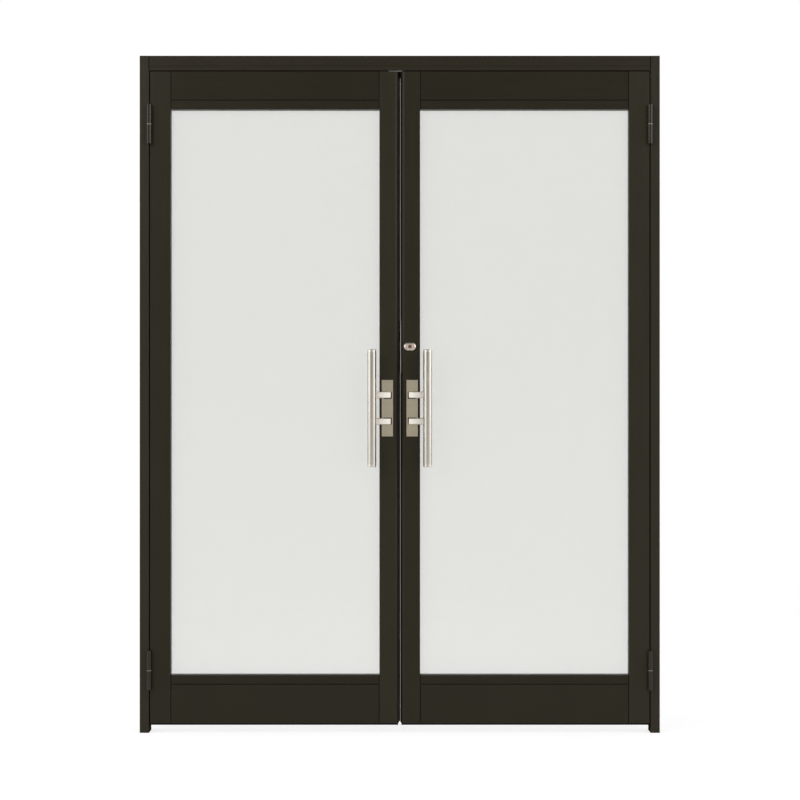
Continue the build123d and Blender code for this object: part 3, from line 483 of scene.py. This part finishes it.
def beads(name, body, lines, radius, finish):
    """Rubber beads for one body, from pairs of end points."""
    points = [point for line in lines for point in line]
    edges = [(first, first + 1) for first in range(0, len(points), 2)]
    made = grown(name, BEADS, points, edges, [], {"Bead radius": radius, "Finish": finish})
    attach(made, body)


low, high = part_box("head")
joint_lines = [
    ((x, y, HEAD_UNDERSIDE + SEALANT_RADIUS), (x, y, high.z - SEALANT_RADIUS))
    for x in (low.x, high.x) for y in (low.y + SEALANT_SUNK, high.y - SEALANT_SUNK)
]
beads("frame_joint_sealant", "frame", joint_lines, SEALANT_RADIUS, joint_sealant)

fin_low, fin_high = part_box("meeting_fin")
low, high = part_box("lock_case")
lip_x = fin_high.x + LIP_REACH - LIP_RADIUS
lip_y = (fin_low.y + fin_high.y) / 2
lip_line = ((lip_x, lip_y, low.z), (lip_x, lip_y, high.z))
beads("lock_gap_lip", "left_leaf", [lip_line], LIP_RADIUS, upright_rubber)


# Studio

def seen_directly(tree):
    """One for rays that show a surface: from the camera, off a gloss or through glass."""
    path = add(tree, "ShaderNodeLightPath").outputs
    glossy = add(tree, "ShaderNodeMath", {
        0: path["Is Camera Ray"], 1: path["Is Glossy Ray"],
    }, operation="MAXIMUM")
    shown = add(tree, "ShaderNodeMath", {
        0: glossy.outputs[0], 1: path["Is Transmission Ray"],
    }, operation="MAXIMUM")
    return shown.outputs[0]


def stage_plane(name, corners, material):
    """A flat four-cornered sheet of the studio."""
    mesh = bpy.data.meshes.new(name)
    mesh.from_pydata(corners, [], [(0, 1, 2, 3)])
    mesh.materials.append(material)
    plane = bpy.data.objects.new(name, mesh)
    bpy.context.scene.collection.objects.link(plane)


def floor_paint():
    """Pale floor, lifted to white where it is seen, that still takes the doors' shadow."""
    material, tree, surface = new_finish(
        "floor_paint", Base_Color=(FLOOR_TONE, FLOOR_TONE, FLOOR_TONE, 1.0), Roughness=0.9,
        Specular_IOR_Level=0.1, Emission_Color=WHITE,
    )
    lift = add(tree, "ShaderNodeMath", {0: seen_directly(tree), 1: FLOOR_LIFT}, operation="MULTIPLY")
    tree.links.new(lift.outputs[0], surface.inputs["Emission Strength"])
    return material


def backdrop_paper():
    """White paper behind the doors, see-through from its back."""
    material, tree, surface = new_finish(
        "backdrop_paper", Base_Color=(BACKDROP_TONE, BACKDROP_TONE, BACKDROP_TONE, 1.0), Roughness=1.0,
        Specular_IOR_Level=0.0,
    )
    white = add(tree, "ShaderNodeEmission", {"Color": WHITE, "Strength": 1.0}).outputs[0]
    clear = add(tree, "ShaderNodeBsdfTransparent").outputs[0]
    front = add(tree, "ShaderNodeMixShader", {0: seen_directly(tree), 1: surface.outputs[0], 2: white})
    behind = add(tree, "ShaderNodeNewGeometry").outputs["Backfacing"]
    both = add(tree, "ShaderNodeMixShader", {0: behind, 1: front.outputs[0], 2: clear}).outputs[0]
    tree.links.new(both, tree.nodes["Material Output"].inputs["Surface"])
    return material


def studio_walls():
    """Soft light from all round, dimmer where the camera stands and brighter at the sides."""
    world = bpy.data.worlds.new("studio_walls")
    bpy.context.scene.world = world
    world.use_nodes = True
    tree = world.node_tree
    outwards = add(tree, "ShaderNodeTexCoord").outputs["Generated"]
    across = add(tree, "ShaderNodeSeparateXYZ", {0: outwards}).outputs["X"]
    aside = add(tree, "ShaderNodeMath", {0: across}, operation="ABSOLUTE").outputs[0]
    rise = add(tree, "ShaderNodeMath", {0: aside, 1: SIDE_WALL_RISE}, operation="POWER").outputs[0]
    level = between(tree, rise, FRONT_WALL_LEVEL, SIDE_WALL_LEVEL, start=0.0, end=1.0)
    tree.nodes["Background"].inputs["Color"].default_value = WHITE
    tree.links.new(level, tree.nodes["Background"].inputs["Strength"])


def soft_lamp(name, place, target, size, power):
    """A square lamp that faces a point on the doors."""
    light = bpy.data.lights.new(name, "AREA")
    light.shape = "RECTANGLE"
    light.size = light.size_y = size
    light.energy = power
    lamp = bpy.data.objects.new(name, light)
    lamp.location = place
    lamp.rotation_mode = "QUATERNION"
    lamp.rotation_quaternion = (Vector(target) - Vector(place)).to_track_quat("-Z", "Y")
    bpy.context.scene.collection.objects.link(lamp)


stage_plane("floor", [
    (-FLOOR_REACH, -FLOOR_REACH, 0.0), (FLOOR_REACH, -FLOOR_REACH, 0.0),
    (FLOOR_REACH, FLOOR_REACH, 0.0), (-FLOOR_REACH, FLOOR_REACH, 0.0),
], floor_paint())
stage_plane("backdrop", [
    (-FLOOR_REACH, BACKDROP_Y, 0.0), (FLOOR_REACH, BACKDROP_Y, 0.0),
    (FLOOR_REACH, BACKDROP_Y, FLOOR_REACH), (-FLOOR_REACH, BACKDROP_Y, FLOOR_REACH),
], backdrop_paper())
studio_walls()
soft_lamp("key_lamp", place=(-3.4, -4.0, 3.8), target=(0.0, 0.0, 1.2), size=1.8, power=88.0)
soft_lamp("fill_lamp", place=(3.6, -4.4, 3.4), target=(0.0, 0.0, 1.3), size=2.4, power=62.0)


# Camera, square on at the photo's framing

lens = bpy.data.cameras.new("camera")
lens.sensor_width = SENSOR_WIDTH
lens.lens = SENSOR_WIDTH * VIEW_DISTANCE / VIEW_WIDTH
camera = bpy.data.objects.new("camera", lens)
camera.location = (VIEW_X, FACE_Y - VIEW_DISTANCE, VIEW_HEIGHT)
camera.rotation_euler = (radians(90), 0.0, 0.0)
bpy.context.scene.collection.objects.link(camera)
bpy.context.scene.camera = camera
bpy.context.scene.view_settings.view_transform = "Standard"

bpy.context.view_layer.update()
